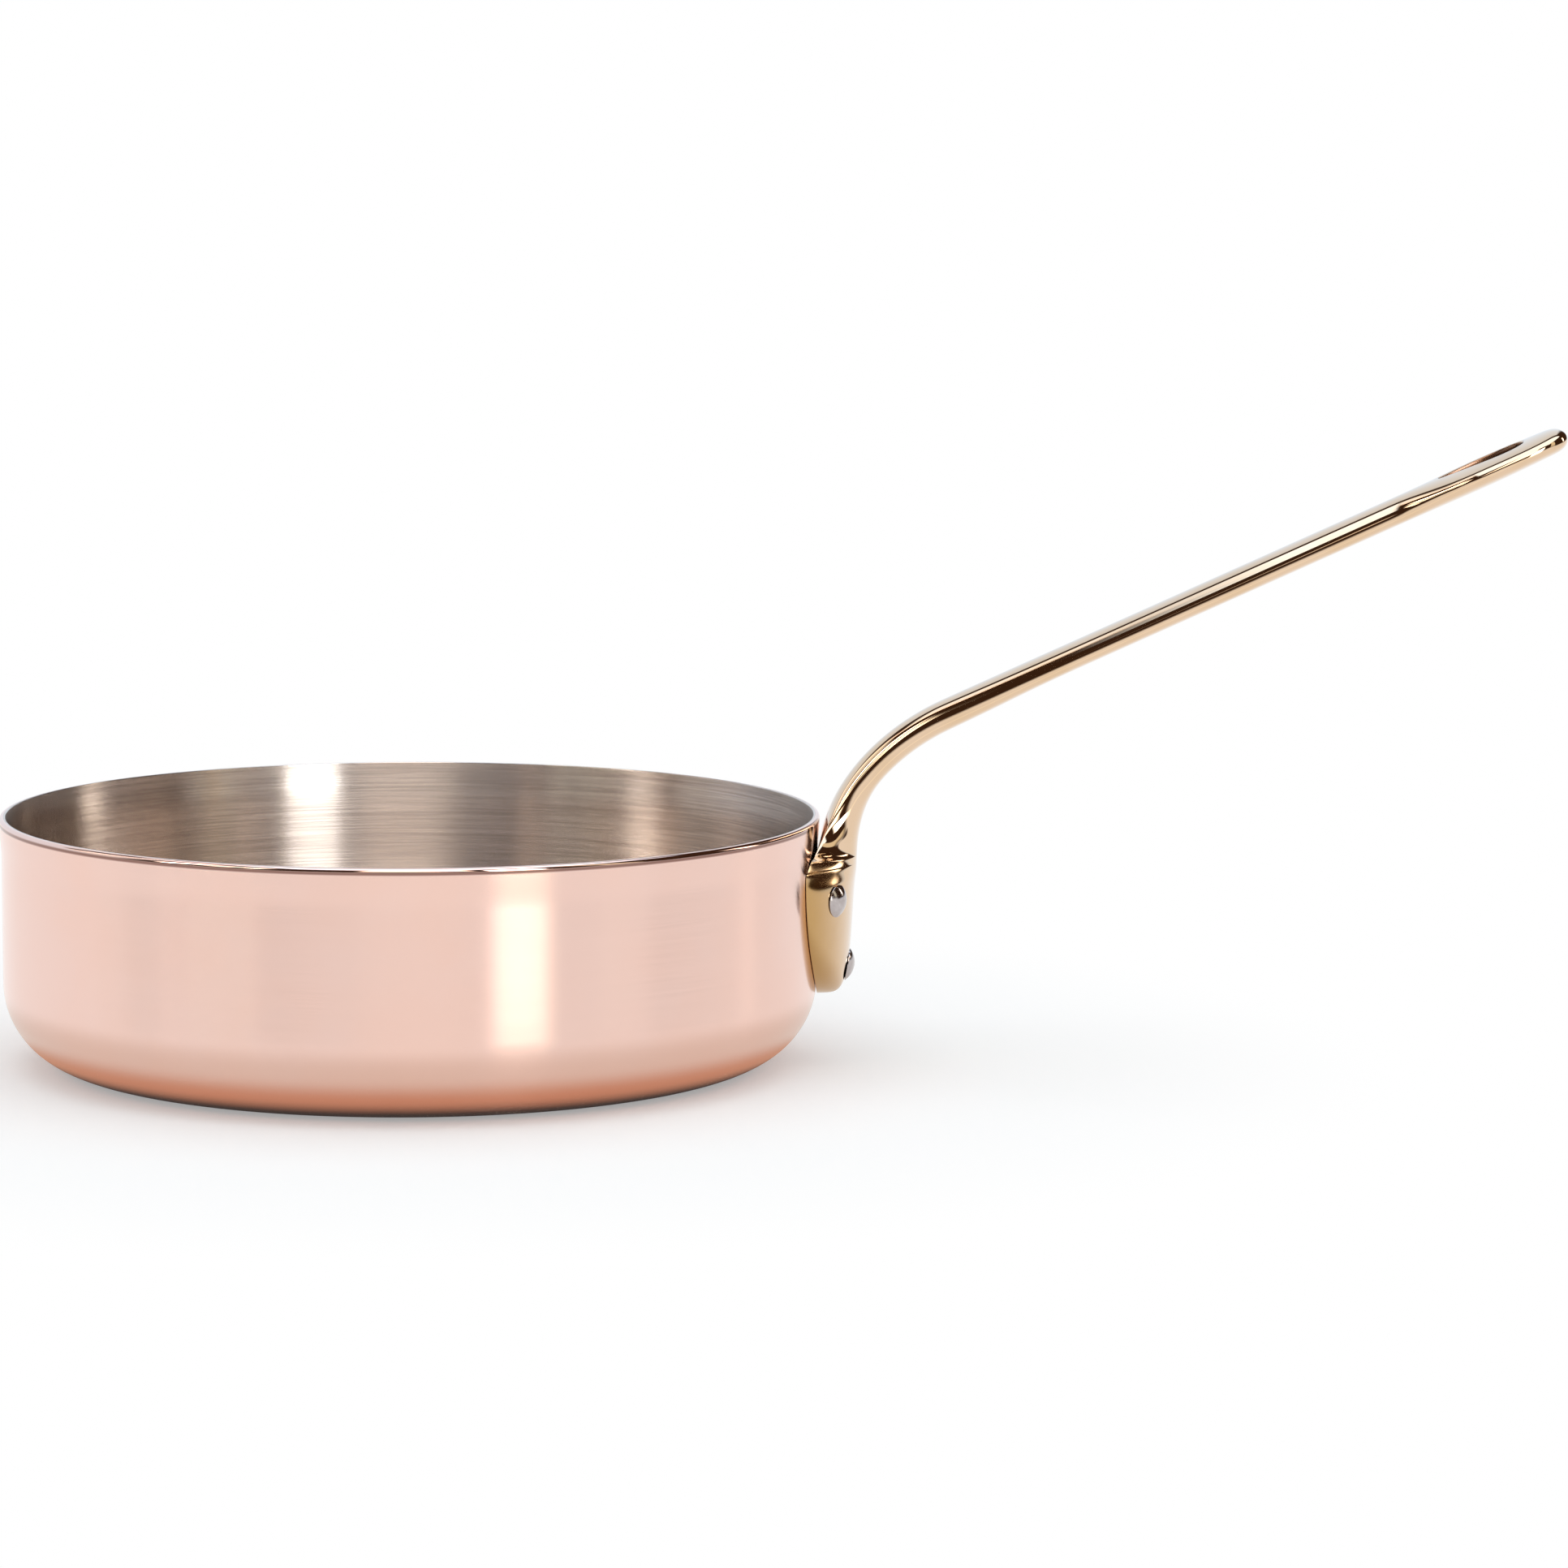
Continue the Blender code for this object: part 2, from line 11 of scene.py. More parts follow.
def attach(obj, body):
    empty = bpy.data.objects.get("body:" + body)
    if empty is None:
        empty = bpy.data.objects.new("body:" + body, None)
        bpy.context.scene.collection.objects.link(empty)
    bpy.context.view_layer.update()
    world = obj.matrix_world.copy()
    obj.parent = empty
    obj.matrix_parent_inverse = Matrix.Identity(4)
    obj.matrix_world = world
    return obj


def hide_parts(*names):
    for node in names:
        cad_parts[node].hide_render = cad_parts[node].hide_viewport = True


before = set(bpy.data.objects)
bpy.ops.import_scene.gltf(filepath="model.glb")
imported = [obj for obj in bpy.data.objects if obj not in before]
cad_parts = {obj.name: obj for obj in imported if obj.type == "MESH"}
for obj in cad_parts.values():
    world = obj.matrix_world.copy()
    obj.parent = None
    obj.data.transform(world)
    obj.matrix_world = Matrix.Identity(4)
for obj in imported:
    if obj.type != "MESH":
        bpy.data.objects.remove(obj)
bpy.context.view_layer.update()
print("frame loaded:", ", ".join(sorted(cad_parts)))


# Shader maths

class Wire:
    # one socket of a node tree: sums, products and powers of it add Math nodes

    def __init__(self, tree, socket=None):
        self.tree = tree
        self.socket = socket

    def add(self, kind, settings=None, inputs=None, out=0):
        node = self.tree.nodes.new(kind)
        for name, value in (settings or {}).items():
            setattr(node, name, value)
        for name, value in (inputs or {}).items():
            if isinstance(value, Wire):
                self.tree.links.new(value.socket, node.inputs[name])
            else:
                node.inputs[name].default_value = value
        return Wire(self.tree, node.outputs[out])

    def maths(self, operation, *values):
        return self.add("ShaderNodeMath", {"operation": operation}, dict(enumerate(values)))

    def __add__(self, other):
        return self.maths("ADD", self, other)

    def __sub__(self, other):
        return self.maths("SUBTRACT", self, other)

    def __mul__(self, other):
        return self.maths("MULTIPLY", self, other)

    def __truediv__(self, other):
        return self.maths("DIVIDE", self, other)

    def __pow__(self, other):
        return self.maths("POWER", self, other)

    def __radd__(self, other):
        return self.maths("ADD", other, self)

    def __rsub__(self, other):
        return self.maths("SUBTRACT", other, self)

    def __neg__(self):
        return self.maths("MULTIPLY", self, -1)

    def inDegrees(self):
        return self * (180 / math.pi)

    def clamped(self):
        return self.add("ShaderNodeClamp", inputs={"Value": self})

    def step(self, low, high):
        # a soft step from 0 at low to 1 at high
        return self.add(
            "ShaderNodeMapRange",
            {"interpolation_type": "SMOOTHSTEP"},
            {"Value": self, "From Min": low, "From Max": high},
        )

    def rise(self, middle, soft):
        # the same step, as its middle and softness
        return self.step(middle - soft, middle + soft)

    def band(self, low, high, soft):
        # 1 between low and high, with soft edges
        return self.rise(low, soft) * (1 - self.rise(high, soft))

    def mix(self, colourA, colourB):
        # this value as the share of the second colour
        return self.add("ShaderNodeMix", {"data_type": "RGBA"}, {0: self, 6: colourA, 7: colourB}, 2)


def colour(red, green, blue):
    return (red, green, blue, 1)


def startMaterial(name):
    material = bpy.data.materials.new(name)
    material.use_nodes = True
    material.node_tree.nodes.clear()
    wire = Wire(material.node_tree)
    place = wire.add("ShaderNodeTexCoord", out="Object")
    return material, wire, place


def finishMaterial(wire, shader, kind="ShaderNodeOutputMaterial"):
    output = wire.tree.nodes.new(kind)
    wire.tree.links.new(shader.socket, output.inputs["Surface"])


def axesOf(place):
    split = place.add("ShaderNodeSeparateXYZ", inputs={0: place})
    sockets = split.socket.node.outputs
    return [Wire(place.tree, sockets[axis]) for axis in "XYZ"]


def joined(x, y, z):
    return x.add("ShaderNodeCombineXYZ", inputs={0: x, 1: y, 2: z})


def noise(place, scale, detail=2.0):
    return place.add(
        "ShaderNodeTexNoise",
        inputs={"Vector": place, "Scale": scale, "Detail": detail, "Roughness": 0.5},
    )


def brushLines(place, around, across):
    # noise drawn out round the Z axis: on walls it follows the height, on floors the distance from the axis
    x, y, z = axesOf(place)
    reach = (x * x + y * y) ** 0.5 + 0.0005     # never 0, so that the axis itself has a direction
    lines = joined(x / reach * around, y / reach * around, (z + reach) * across)
    return noise(lines, 1.0, detail=1.0)


def brushBump(wire, lines, strength, depth=0.0002):
    return wire.add(
        "ShaderNodeBump",
        inputs={"Strength": strength, "Distance": depth, "Height": lines},
        out="Normal",
    )


# Mesh helpers

def penDown(bm, x, z):
    return bm.verts.new((x, 0, z))


def penTo(bm, last, x, z):
    # draws a straight stretch of a profile
    point = bmesh.ops.extrude_vert_indiv(bm, verts=[last])["verts"][0]
    point.co = (x, 0, z)
    return point


def penRound(bm, last, centre, degrees, steps):
    # draws an arc of a profile, clockwise seen from the front for positive angles
    spun = bmesh.ops.spin(
        bm,
        geom=[last],
        cent=(centre[0], 0, centre[1]),
        axis=(0, 1, 0),
        angle=math.radians(degrees),
        steps=steps,
    )
    return spun["geom_last"][0]


def turnProfile(bm, steps):
    bmesh.ops.spin(
        bm,
        geom=bm.verts[:] + bm.edges[:],
        cent=(0, 0, 0),
        axis=(0, 0, 1),
        angle=math.tau,
        steps=steps,
        use_merge=True,
    )
    bmesh.ops.remove_doubles(bm, verts=bm.verts, dist=1e-6)
    bmesh.ops.recalc_face_normals(bm, faces=bm.faces)


def addObject(name, data):
    item = bpy.data.objects.new(name, data)
    bpy.context.scene.collection.objects.link(item)
    return item


def finishPiece(bm, name, material, nodes, sharp=40):
    # edges stay sharp where their faces meet at more than that many degrees
    mesh = bpy.data.meshes.new(name)
    bm.to_mesh(mesh)
    bm.free()
    mesh.shade_smooth()
    mesh.set_sharp_from_angle(angle=math.radians(sharp))
    mesh.materials.append(material)
    piece = addObject(name, mesh)
    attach(piece, "root")
    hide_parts(*nodes)
    return piece


def ease(value):
    # from 0 to 1 with a level start and end
    value = min(max(value, 0.0), 1.0)
    return value * value * (3 - 2 * value)


def angles(steps, start=0, end=90):
    # equal steps from one angle to another, in radians
    return [math.radians(start + (end - start) * step / steps) for step in range(steps + 1)]


# Camera

camera = {
    "place": (0.11067, -1.75909, 0.30739),
    "lookDown": 7.2756,      # degrees
    "roll": 0.2339,
    "lens": 137.29,          # millimetres
    "sensor": 36,
    "clipStart": 0.05,
}


def makeCamera():
    data = bpy.data.cameras.new("camera")
    data.sensor_width = camera["sensor"]
    data.lens = camera["lens"]
    data.clip_start = camera["clipStart"]
    viewer = addObject("camera", data)
    turn = Matrix.Rotation(math.radians(90 - camera["lookDown"]), 4, "X")
    roll = Matrix.Rotation(math.radians(camera["roll"]), 4, "Z")
    viewer.matrix_world = Matrix.Translation(camera["place"]) @ turn @ roll
    bpy.context.scene.camera = viewer


# Copper shell

pan = {
    "radius": 0.1206,
    "height": 0.0741,
    "corner": 0.0249,        # outer radius where the wall turns into the base
    "copper": 0.0014,        # thickness of the shell
    "steel": 0.00056,        # and of the lining
    "bond": 0.00002,         # gap between the two
    "flare": 0.0008,         # how far the pouring lip stands out
    "flareHeight": 0.0120,
    "lipRound": 0.0012,
    "rimRound": 0.0003,
    "turns": 256,
    "baseSteps": 4,
    "cornerSteps": 24,
    "flareSteps": 14,
    "roundSteps": 8,
    "wallSteps": 6,
}


def flareAt(z):
    return pan["flare"] * ease((z - pan["height"]) / pan["flareHeight"] + 1)


def drawWallUp(bm, offset, top):
    # one face of the pan's sheet, from the axis up to a height near the rim
    corner = pan["corner"] - offset
    centre = pan["radius"] - pan["corner"]
    point = penDown(bm, 0, offset)
    for step in range(1, pan["baseSteps"] + 1):
        point = penTo(bm, point, centre * step / pan["baseSteps"], offset)
    point = penRound(bm, point, (centre, pan["corner"]), -90, pan["cornerSteps"])
    flareFoot = pan["height"] - pan["flareHeight"]
    for step in range(1, pan["wallSteps"] + 1):
        z = pan["corner"] + (flareFoot - pan["corner"]) * step / pan["wallSteps"]
        point = penTo(bm, point, pan["radius"] - offset, z)
    for step in range(1, pan["flareSteps"] + 1):
        z = flareFoot + (top - flareFoot) * step / pan["flareSteps"]
        point = penTo(bm, point, pan["radius"] - offset + flareAt(z), z)
    return point


def makeCopper(material):
    bm = bmesh.new()
    point = drawWallUp(bm, 0, pan["height"] - pan["lipRound"])
    lip = (point.co.x - pan["lipRound"], pan["height"] - pan["lipRound"])
    outside = penRound(bm, point, lip, -90, pan["roundSteps"])
    inside = drawWallUp(bm, pan["copper"], pan["height"])
    bm.edges.new((outside, inside))
    turnProfile(bm, pan["turns"])
    finishPiece(bm, "copperShell", material, ["copper_body"])


# Steel lining

def makeLining(material):
    bm = bmesh.new()
    offset = pan["copper"] + pan["bond"]
    outside = drawWallUp(bm, offset, pan["height"])
    point = drawWallUp(bm, offset + pan["steel"], pan["height"] - pan["rimRound"])
    edge = (point.co.x + pan["rimRound"], pan["height"] - pan["rimRound"])
    inside = penRound(bm, point, edge, 90, pan["roundSteps"])
    bm.edges.new((outside, inside))
    turnProfile(bm, pan["turns"])
    finishPiece(bm, "steelLining", material, ["steel_lining"])


# Brass handle: a ring drawn out along the handle's top line, from the foot of the plate to the tip

handle = {
    "back": 0.12072,             # distance of the plate's back from the pan's axis
    "plateTop": 0.0598,
    "plateBottom": 0.0202,
    "plateWidest": 0.0048,       # below the top
    "plateHalfWidth": 0.0290,
    "plateCrown": 0.0112,        # thickness at the middle of the widest place
    "plateLean": 0.055,
    "footBluntness": 5,
    "footStart": 3,              # degrees of the foot's round that its end face takes
    "plateCorner": 0.0015,
    "plateFullness": 1.30,       # of the plate's section: 2 is a parabola, 1 an ellipse, 0 a rectangle
    "shoulderRise": 0.0028,
    "shoulderFillet": 0.0160,    # how far the neck widens towards the plate
    "filletRise": 0.0230,        # and over which height
    "shoulderCrown": 0.0118,
    "shoulderSwell": 0.0068,
    "shoulderFullness": 2.40,
    "shoulderEasing": 0.0110,    # run over which the neck takes its full section
    "shieldSharpness": 0.63,
    "neckReach": 0.03668,
    "neckLift": 0.0483,
    "neckPullLow": 0.0205,
    "neckPullHigh": 0.0223,
    "neckThickness": 0.0088,
    "neckHalfWidth": 0.0072,
    "neckWaist": 0.0340,
    "gripPitch": 24.5,           # degrees
    "gripLength": 0.19942,
    "gripThickness": 0.0077,
    "gripHalfWidth": 0.0093,
    "gripWidening": 0.0350,
    "edgeShare": 0.67,           # depth of the widest line under the top line, in thicknesses
    "fullness": 0.80,            # of the section: 1 is an ellipse, 0 a rectangle
    "paddleHalfWidth": 0.0155,
    "paddleEdgeShare": 0.48,
    "paddleToTip": 0.0290,
    "paddleWidening": 0.0260,
    "tipBluntness": 2.8,
    "tipRounding": 0.0060,
    "tipFullness": 3,
    "tipStop": 87,               # degrees of the tip's round up to its end face
    "tipThickness": 0.0070,
    "slotToTip": 0.0125,
    "slotLength": 0.0265,
    "slotHalfWidth": 0.0066,
    "slotEnd": 0.0011,
    "slotOpening": 0.8,
    "slotClosing": 3,
    "slotEasing": 0.0130,
    "slotRound": 0.0006,         # rounding of the slot's rims
    "halfColumns": 10,
    "footRings": 13,
    "sideRings": (0.35, 0.7),    # places of the rings along the plate's straight side
    "cornerRings": 5,
    "shoulderRings": 5,
    "filletRings": 12,
    "neckRings": 12,
    "gripRings": 12,
    "paddleRings": 6,
    "slotRings": 18,
    "tipRings": 10,
    "rimSegments": 2,
    "smoothing": 2,
    "neckSamples": 200,
}


def neckCurve(t):
    # point and direction on the neck's curve
    pitch = math.radians(handle["gripPitch"])
    lean = Vector((math.cos(pitch), math.sin(pitch)))
    low = Vector((handle["back"], handle["plateTop"]))
    high = low + Vector((handle["neckReach"], handle["neckLift"]))
    pullLow = low + Vector((0, handle["neckPullLow"]))
    pullHigh = high - handle["neckPullHigh"] * lean
    rest = 1 - t
    point = rest**3 * low + 3 * rest * rest * t * pullLow + 3 * rest * t * t * pullHigh + t**3 * high
    slope = rest * rest * (pullLow - low) + 2 * rest * t * (pullHigh - pullLow)
    slope += t * t * (high - pullHigh)
    return point, slope.normalized()


def measureHandle():
    # running lengths from the foot of the plate, and the table of lengths along the neck
    samples = handle["neckSamples"]
    points = [neckCurve(step / samples)[0] for step in range(samples + 1)]
    lengths = [0.0]
    for last, point in zip(points, points[1:]):
        lengths.append(lengths[-1] + (point - last).length)
    neckStart = handle["plateTop"] - handle["plateBottom"]
    gripStart = neckStart + lengths[-1]
    tip = gripStart + handle["gripLength"]
    slotFar = tip - handle["slotToTip"]
    return {
        "neckLengths": lengths,
        "widest": neckStart - handle["plateWidest"],
        "neckStart": neckStart,
        "gripStart": gripStart,
        "tip": tip,
        "paddle": tip - handle["paddleToTip"],
        "slotFar": slotFar,
        "slotNear": slotFar - handle["slotLength"],
    }


runs = measureHandle()


def pathAt(run):
    # point (x, z) and direction of the handle's top line
    if run <= runs["neckStart"]:
        return Vector((handle["back"], handle["plateBottom"] + run)), Vector((0, 1))
    if run >= runs["gripStart"]:
        end, lean = neckCurve(1.0)
        return end + (run - runs["gripStart"]) * lean, lean
    along = run - runs["neckStart"]
    lengths = runs["neckLengths"]
    step = next(i for i in range(handle["neckSamples"]) if lengths[i + 1] >= along)
    share = (along - lengths[step]) / (lengths[step + 1] - lengths[step])
    return neckCurve((step + share) / handle["neckSamples"])


def plateShare(run):
    # 0 from the plate's widest place up, 1 at its foot
    return max((runs["widest"] - run) / runs["widest"], 0.0)


def plateHalfWidth(run):
    return handle["plateHalfWidth"] * (1 - plateShare(run) ** 2) ** handle["shieldSharpness"]


def swellShare(run):
    # 0 on the plate, 1 where the neck starts
    return ease((run - runs["neckStart"] + handle["shoulderSwell"]) / handle["shoulderSwell"])


def waistShare(run):
    return ease((run - runs["neckStart"]) / handle["neckWaist"])


def thicknessAt(run):
    if run <= runs["neckStart"]:
        crown = handle["plateCrown"] + handle["plateLean"] * (run - runs["widest"])
        crown += (handle["shoulderCrown"] - crown) * swellShare(run)
        return crown * (1 - plateShare(run) ** handle["footBluntness"]) ** (1 / handle["footBluntness"])
    slim = ease((run - runs["gripStart"]) / handle["gripWidening"])
    taper = ease((run - runs["paddle"]) / handle["paddleToTip"])
    thick = handle["shoulderCrown"]
    thick += (handle["neckThickness"] - handle["shoulderCrown"]) * waistShare(run)
    thick += (handle["gripThickness"] - handle["neckThickness"]) * slim
    thick += (handle["tipThickness"] - handle["gripThickness"]) * taper
    intoTip = max((run - runs["tip"] + handle["tipRounding"]) / handle["tipRounding"], 0.0)
    return thick * math.sqrt(1 - intoTip ** handle["tipFullness"])


def fullnessAt(run):
    plate = handle["plateFullness"]
    plate += (handle["shoulderFullness"] - handle["plateFullness"]) * swellShare(run)
    intoNeck = ease((run - runs["neckStart"]) / handle["shoulderEasing"])
    return plate + (handle["fullness"] - plate) * intoNeck


def paddleShare(run):
    return ease((run - runs["paddle"] + handle["paddleWidening"]) / handle["paddleWidening"])


def halfWidthAt(run):
    widening = handle["gripWidening"]
    gripShare = ease((run - runs["gripStart"] + widening) / (2 * widening))
    width = handle["neckHalfWidth"] + (handle["gripHalfWidth"] - handle["neckHalfWidth"]) * gripShare
    width += (handle["paddleHalfWidth"] - handle["gripHalfWidth"]) * paddleShare(run)
    past = max((run - runs["paddle"]) / handle["paddleToTip"], 0.0)
    return width * (1 - past ** handle["tipBluntness"]) ** (1 / handle["tipBluntness"])


def slotShape(share):
    # narrow towards the pan, round towards the tip; the share is a number or a wire
    return share ** handle["slotOpening"] * (1 - share ** handle["slotClosing"]) ** 0.5


def slotScale():
    # brings the fullest place of the shape to the slot's half width
    opening, closing = handle["slotOpening"], handle["slotClosing"]
    fullest = (2 * opening / (2 * opening + closing)) ** (1 / closing)
    return (handle["slotHalfWidth"] - handle["slotEnd"]) / slotShape(fullest)


def slotHalfWidth(run):
    share = (run - runs["slotNear"]) / handle["slotLength"]
    if not 0 <= share <= 1:
        return handle["slotEnd"]
    return handle["slotEnd"] + slotShape(share) * slotScale()


def columnPlaces(run, halfWidth):
    # distances from the middle of a section's points: near the slot they follow its edge
    count = handle["halfColumns"]
    plain = [halfWidth * math.sin(angle) for angle in angles(count)]
    near = ease((run - runs["slotNear"] + handle["slotEasing"]) / handle["slotEasing"])
    far = ease((runs["slotFar"] - run) / handle["slotToTip"] + 1)
    pinch = near * far
    if pinch == 0:
        return plain
    slot = slotHalfWidth(run) if pinch == 1 else min(slotHalfWidth(run), plain[1])
    places = [0.0] + [slot + (halfWidth - slot) * math.sin(angle) for angle in angles(count - 1)]
    return [a + (b - a) * pinch for a, b in zip(plain, places)]


def sectionPoints(run, halfWidth):
    # down the outer face from +Y to -Y, and back along the inner face
    thick = thicknessAt(run)
    edgeShare = handle["edgeShare"] * waistShare(run)
    edgeShare += (handle["paddleEdgeShare"] - handle["edgeShare"]) * paddleShare(run)
    wrap = 1 - ease((run - runs["neckStart"] - handle["shoulderRise"]) / handle["filletRise"])
    sink = (handle["gripThickness"] - thick) / 2 if run > runs["paddle"] else 0.0
    point, along = pathAt(run)
    outward = Vector((along.y, -along.x))
    half = columnPlaces(run, halfWidth)
    across = half[::-1] + [-y for y in half[1:]]

    def placed(y, depth):
        curve = math.sqrt(handle["back"] ** 2 - y * y) - handle["back"]
        spot = point + outward * (sink + depth + wrap * curve)
        return spot.x, y, spot.y

    def dome(y):
        return max(1 - (y / halfWidth) ** 2, 0.0) ** (fullnessAt(run) / 2)

    edge = edgeShare * thick
    outer = [placed(y, edge + (thick - edge) * dome(y)) for y in across]
    return outer + [placed(y, edge - edge * dome(y)) for y in across[-2:0:-1]]


def handleStations():
    # (run, half width) of each ring
    stations = []
    for angle in angles(handle["footRings"], start=handle["footStart"]):
        run = runs["widest"] * (1 - math.cos(angle))
        stations.append((run, plateHalfWidth(run)))
    cornerFoot = runs["neckStart"] - handle["plateCorner"]
    for share in handle["sideRings"]:
        stations.append((runs["widest"] + (cornerFoot - runs["widest"]) * share, handle["plateHalfWidth"]))
    for angle in angles(handle["cornerRings"]):
        stations.append((
            cornerFoot + handle["plateCorner"] * math.sin(angle),
            handle["plateHalfWidth"] - handle["plateCorner"] * (1 - math.cos(angle)),
        ))
    filletFoot = runs["neckStart"] + handle["shoulderRise"]
    cornerWidth = handle["plateHalfWidth"] - handle["plateCorner"]
    filletWidth = handle["neckHalfWidth"] + handle["shoulderFillet"]
    for step in range(1, handle["shoulderRings"]):
        share = step / handle["shoulderRings"]
        stations.append((
            runs["neckStart"] + handle["shoulderRise"] * share,
            cornerWidth + (filletWidth - cornerWidth) * share,
        ))
    for angle in angles(handle["filletRings"]):
        stations.append((
            filletFoot + handle["filletRise"] * (1 - math.cos(angle)),
            handle["neckHalfWidth"] + handle["shoulderFillet"] * (1 - math.sin(angle)),
        ))
    stops = [
        filletFoot + handle["filletRise"],
        runs["gripStart"],
        runs["paddle"] - handle["paddleWidening"],
        runs["slotNear"],
    ]
    counts = [handle["neckRings"], handle["gripRings"], handle["paddleRings"]]
    for start, end, count in zip(stops, stops[1:], counts):
        for step in range(1, count + 1):
            run = start + (end - start) * step / count
            stations.append((run, halfWidthAt(run)))
    for angle in angles(handle["slotRings"], end=180)[1:]:
        run = runs["slotNear"] + handle["slotLength"] * (1 - math.cos(angle)) / 2
        stations.append((run, halfWidthAt(run)))
    for angle in angles(handle["tipRings"], end=handle["tipStop"])[1:]:
        run = runs["slotFar"] + handle["slotToTip"] * math.sin(angle)
        stations.append((run, halfWidthAt(run)))
    return stations


def makeHandle(material):
    bm = bmesh.new()
    size = 4 * handle["halfColumns"]
    column = bm.verts.layers.int.new("column")
    ringOf = bm.verts.layers.int.new("ring")
    bmesh.ops.create_circle(bm, segments=size, radius=handle["gripHalfWidth"], cap_ends=True)
    bm.verts.ensure_lookup_table()
    for count, vert in enumerate(bm.verts):
        vert[column] = count
    stations = handleStations()
    loop = bm.edges[:]
    for count, station in enumerate(stations):
        if count:
            made = bmesh.ops.extrude_edge_only(bm, edges=loop)["geom"]
            loop = [item for item in made if isinstance(item, bmesh.types.BMEdge) and item.is_boundary]
        spots = sectionPoints(*station)
        for vert in {vert for edge in loop for vert in edge.verts}:
            vert.co = spots[vert[column]]
            vert[ringOf] = count
    bmesh.ops.contextual_create(bm, geom=loop)
    cutSlot(bm, column, ringOf, len(stations))
    bmesh.ops.recalc_face_normals(bm, faces=bm.faces)
    piece = finishPiece(bm, "brassHandle", material, ["handle"], sharp=180)
    smooth = piece.modifiers.new("smooth", "SUBSURF")
    smooth.levels = handle["smoothing"]
    smooth.render_levels = handle["smoothing"]


def cutSlot(bm, column, ringOf, stationCount):
    # opens the slot through both faces and rounds its rims
    middles = (handle["halfColumns"], 3 * handle["halfColumns"])
    first = stationCount - 1 - handle["tipRings"] - handle["slotRings"]
    last = first + handle["slotRings"]

    def nextTo(middle, face):
        return all(abs(vert[column] - middle) <= 1 for vert in face.verts)

    def inSlot(face):
        within = all(first <= vert[ringOf] <= last for vert in face.verts)
        return within and any(nextTo(middle, face) for middle in middles)

    bmesh.ops.delete(bm, geom=[face for face in bm.faces if inSlot(face)], context="FACES")
    rims = [edge for edge in bm.edges if edge.is_boundary]
    bmesh.ops.bridge_loops(bm, edges=rims)
    bmesh.ops.bevel(
        bm,
        geom=rims,
        offset=handle["slotRound"],
        segments=handle["rimSegments"],
        profile=0.5,
        affect="EDGES",
        material=-1,
    )


# Rivets

rivets = {
    "upperToSide": 0.0112,       # from an upper rivet's axis to the side of the plate
    "upperBelowTop": 0.0093,
    "lowerHeight": 0.0288,
    "shank": 0.0029,
    "outerRadius": 0.0048,
    "outerHeight": 0.0020,
    "innerRadius": 0.0055,
    "innerHeight": 0.0018,
    "headSink": 0.0001,
    "rim": 0.0002,               # straight edge under a dome
    "outerShank": 0.0040,        # how far the shank goes in under each head
    "innerShank": 0.0020,
    "liningFace": 0.11862,       # distance of the lining's inner face from the axis
    "turns": 64,
    "domeSteps": 12,
    "seatRounds": 20,            # rounds in which a seat is found on the plate's face
    "seatStep": 0.0005,          # distance over which its slope is measured
}


def plateFace(y, z):
    # x of the plate's outer face
    run = z - handle["plateBottom"]
    share = 1 - (y / plateHalfWidth(run)) ** 2
    curve = math.sqrt(handle["back"] ** 2 - y * y)
    return curve + thicknessAt(run) * max(share, 0.0) ** (fullnessAt(run) / 2)


def plateNormal(y, z):
    step = rivets["seatStep"]
    slopeY = (plateFace(y + step, z) - plateFace(y - step, z)) / (2 * step)
    slopeZ = (plateFace(y, z + step) - plateFace(y, z - step)) / (2 * step)
    return Vector((1, -slopeY, -slopeZ)).normalized()


def frameAlong(direction, origin):
    # stands the Z axis along the direction
    return Matrix.Translation(origin) @ direction.to_track_quat("Z", "Y").to_matrix().to_4x4()


def headMesh(face, seat):
    # a dome on a short rim, with a stub of shank under it, moved to its seat
    radius, height, shank = (rivets[face + size] for size in ("Radius", "Height", "Shank"))
    bm = bmesh.new()
    ball = (radius**2 + height**2) / (2 * height)
    edge = math.degrees(math.asin(radius / ball))
    point = penDown(bm, 0, -shank)
    point = penTo(bm, point, rivets["shank"], -shank)
    point = penTo(bm, point, rivets["shank"], -rivets["rim"])
    point = penTo(bm, point, radius, -rivets["rim"])
    point = penTo(bm, point, radius, 0)
    penRound(bm, point, (0, height - ball), -edge, rivets["domeSteps"])
    turnProfile(bm, rivets["turns"])
    bmesh.ops.transform(bm, matrix=seat, verts=bm.verts)
    return bm


def makeRivet(name, angle, z, node, material):
    outward = Vector((math.cos(angle), math.sin(angle), 0))
    radius = handle["back"] + handle["plateCrown"]
    for _ in range(rivets["seatRounds"]):
        radius += (plateFace(radius * math.sin(angle), z) - radius * math.cos(angle)) / 2
    spot = outward * radius
    normal = plateNormal(spot.y, z)
    seat = spot + Vector((0, 0, z)) - rivets["headSink"] * normal
    inside = outward * rivets["liningFace"] + Vector((0, 0, z))
    bm = headMesh("outer", frameAlong(normal, seat))
    inner = headMesh("inner", frameAlong(-outward, inside))
    spare = bpy.data.meshes.new("spare")
    inner.to_mesh(spare)
    inner.free()
    bm.from_mesh(spare)
    bpy.data.meshes.remove(spare)
    finishPiece(bm, name, material, [node])


def makeRivets(material):
    upperAngle = math.asin((handle["plateHalfWidth"] - rivets["upperToSide"]) / pan["radius"])
    upperHeight = handle["plateTop"] - rivets["upperBelowTop"]
    makeRivet("rivetUpperFront", -upperAngle, upperHeight, "rivet_upper_front", material)
    makeRivet("rivetUpperBack", upperAngle, upperHeight, "rivet_upper_back", material)
    makeRivet("rivetLower", 0.0, rivets["lowerHeight"], "rivet_lower", material)


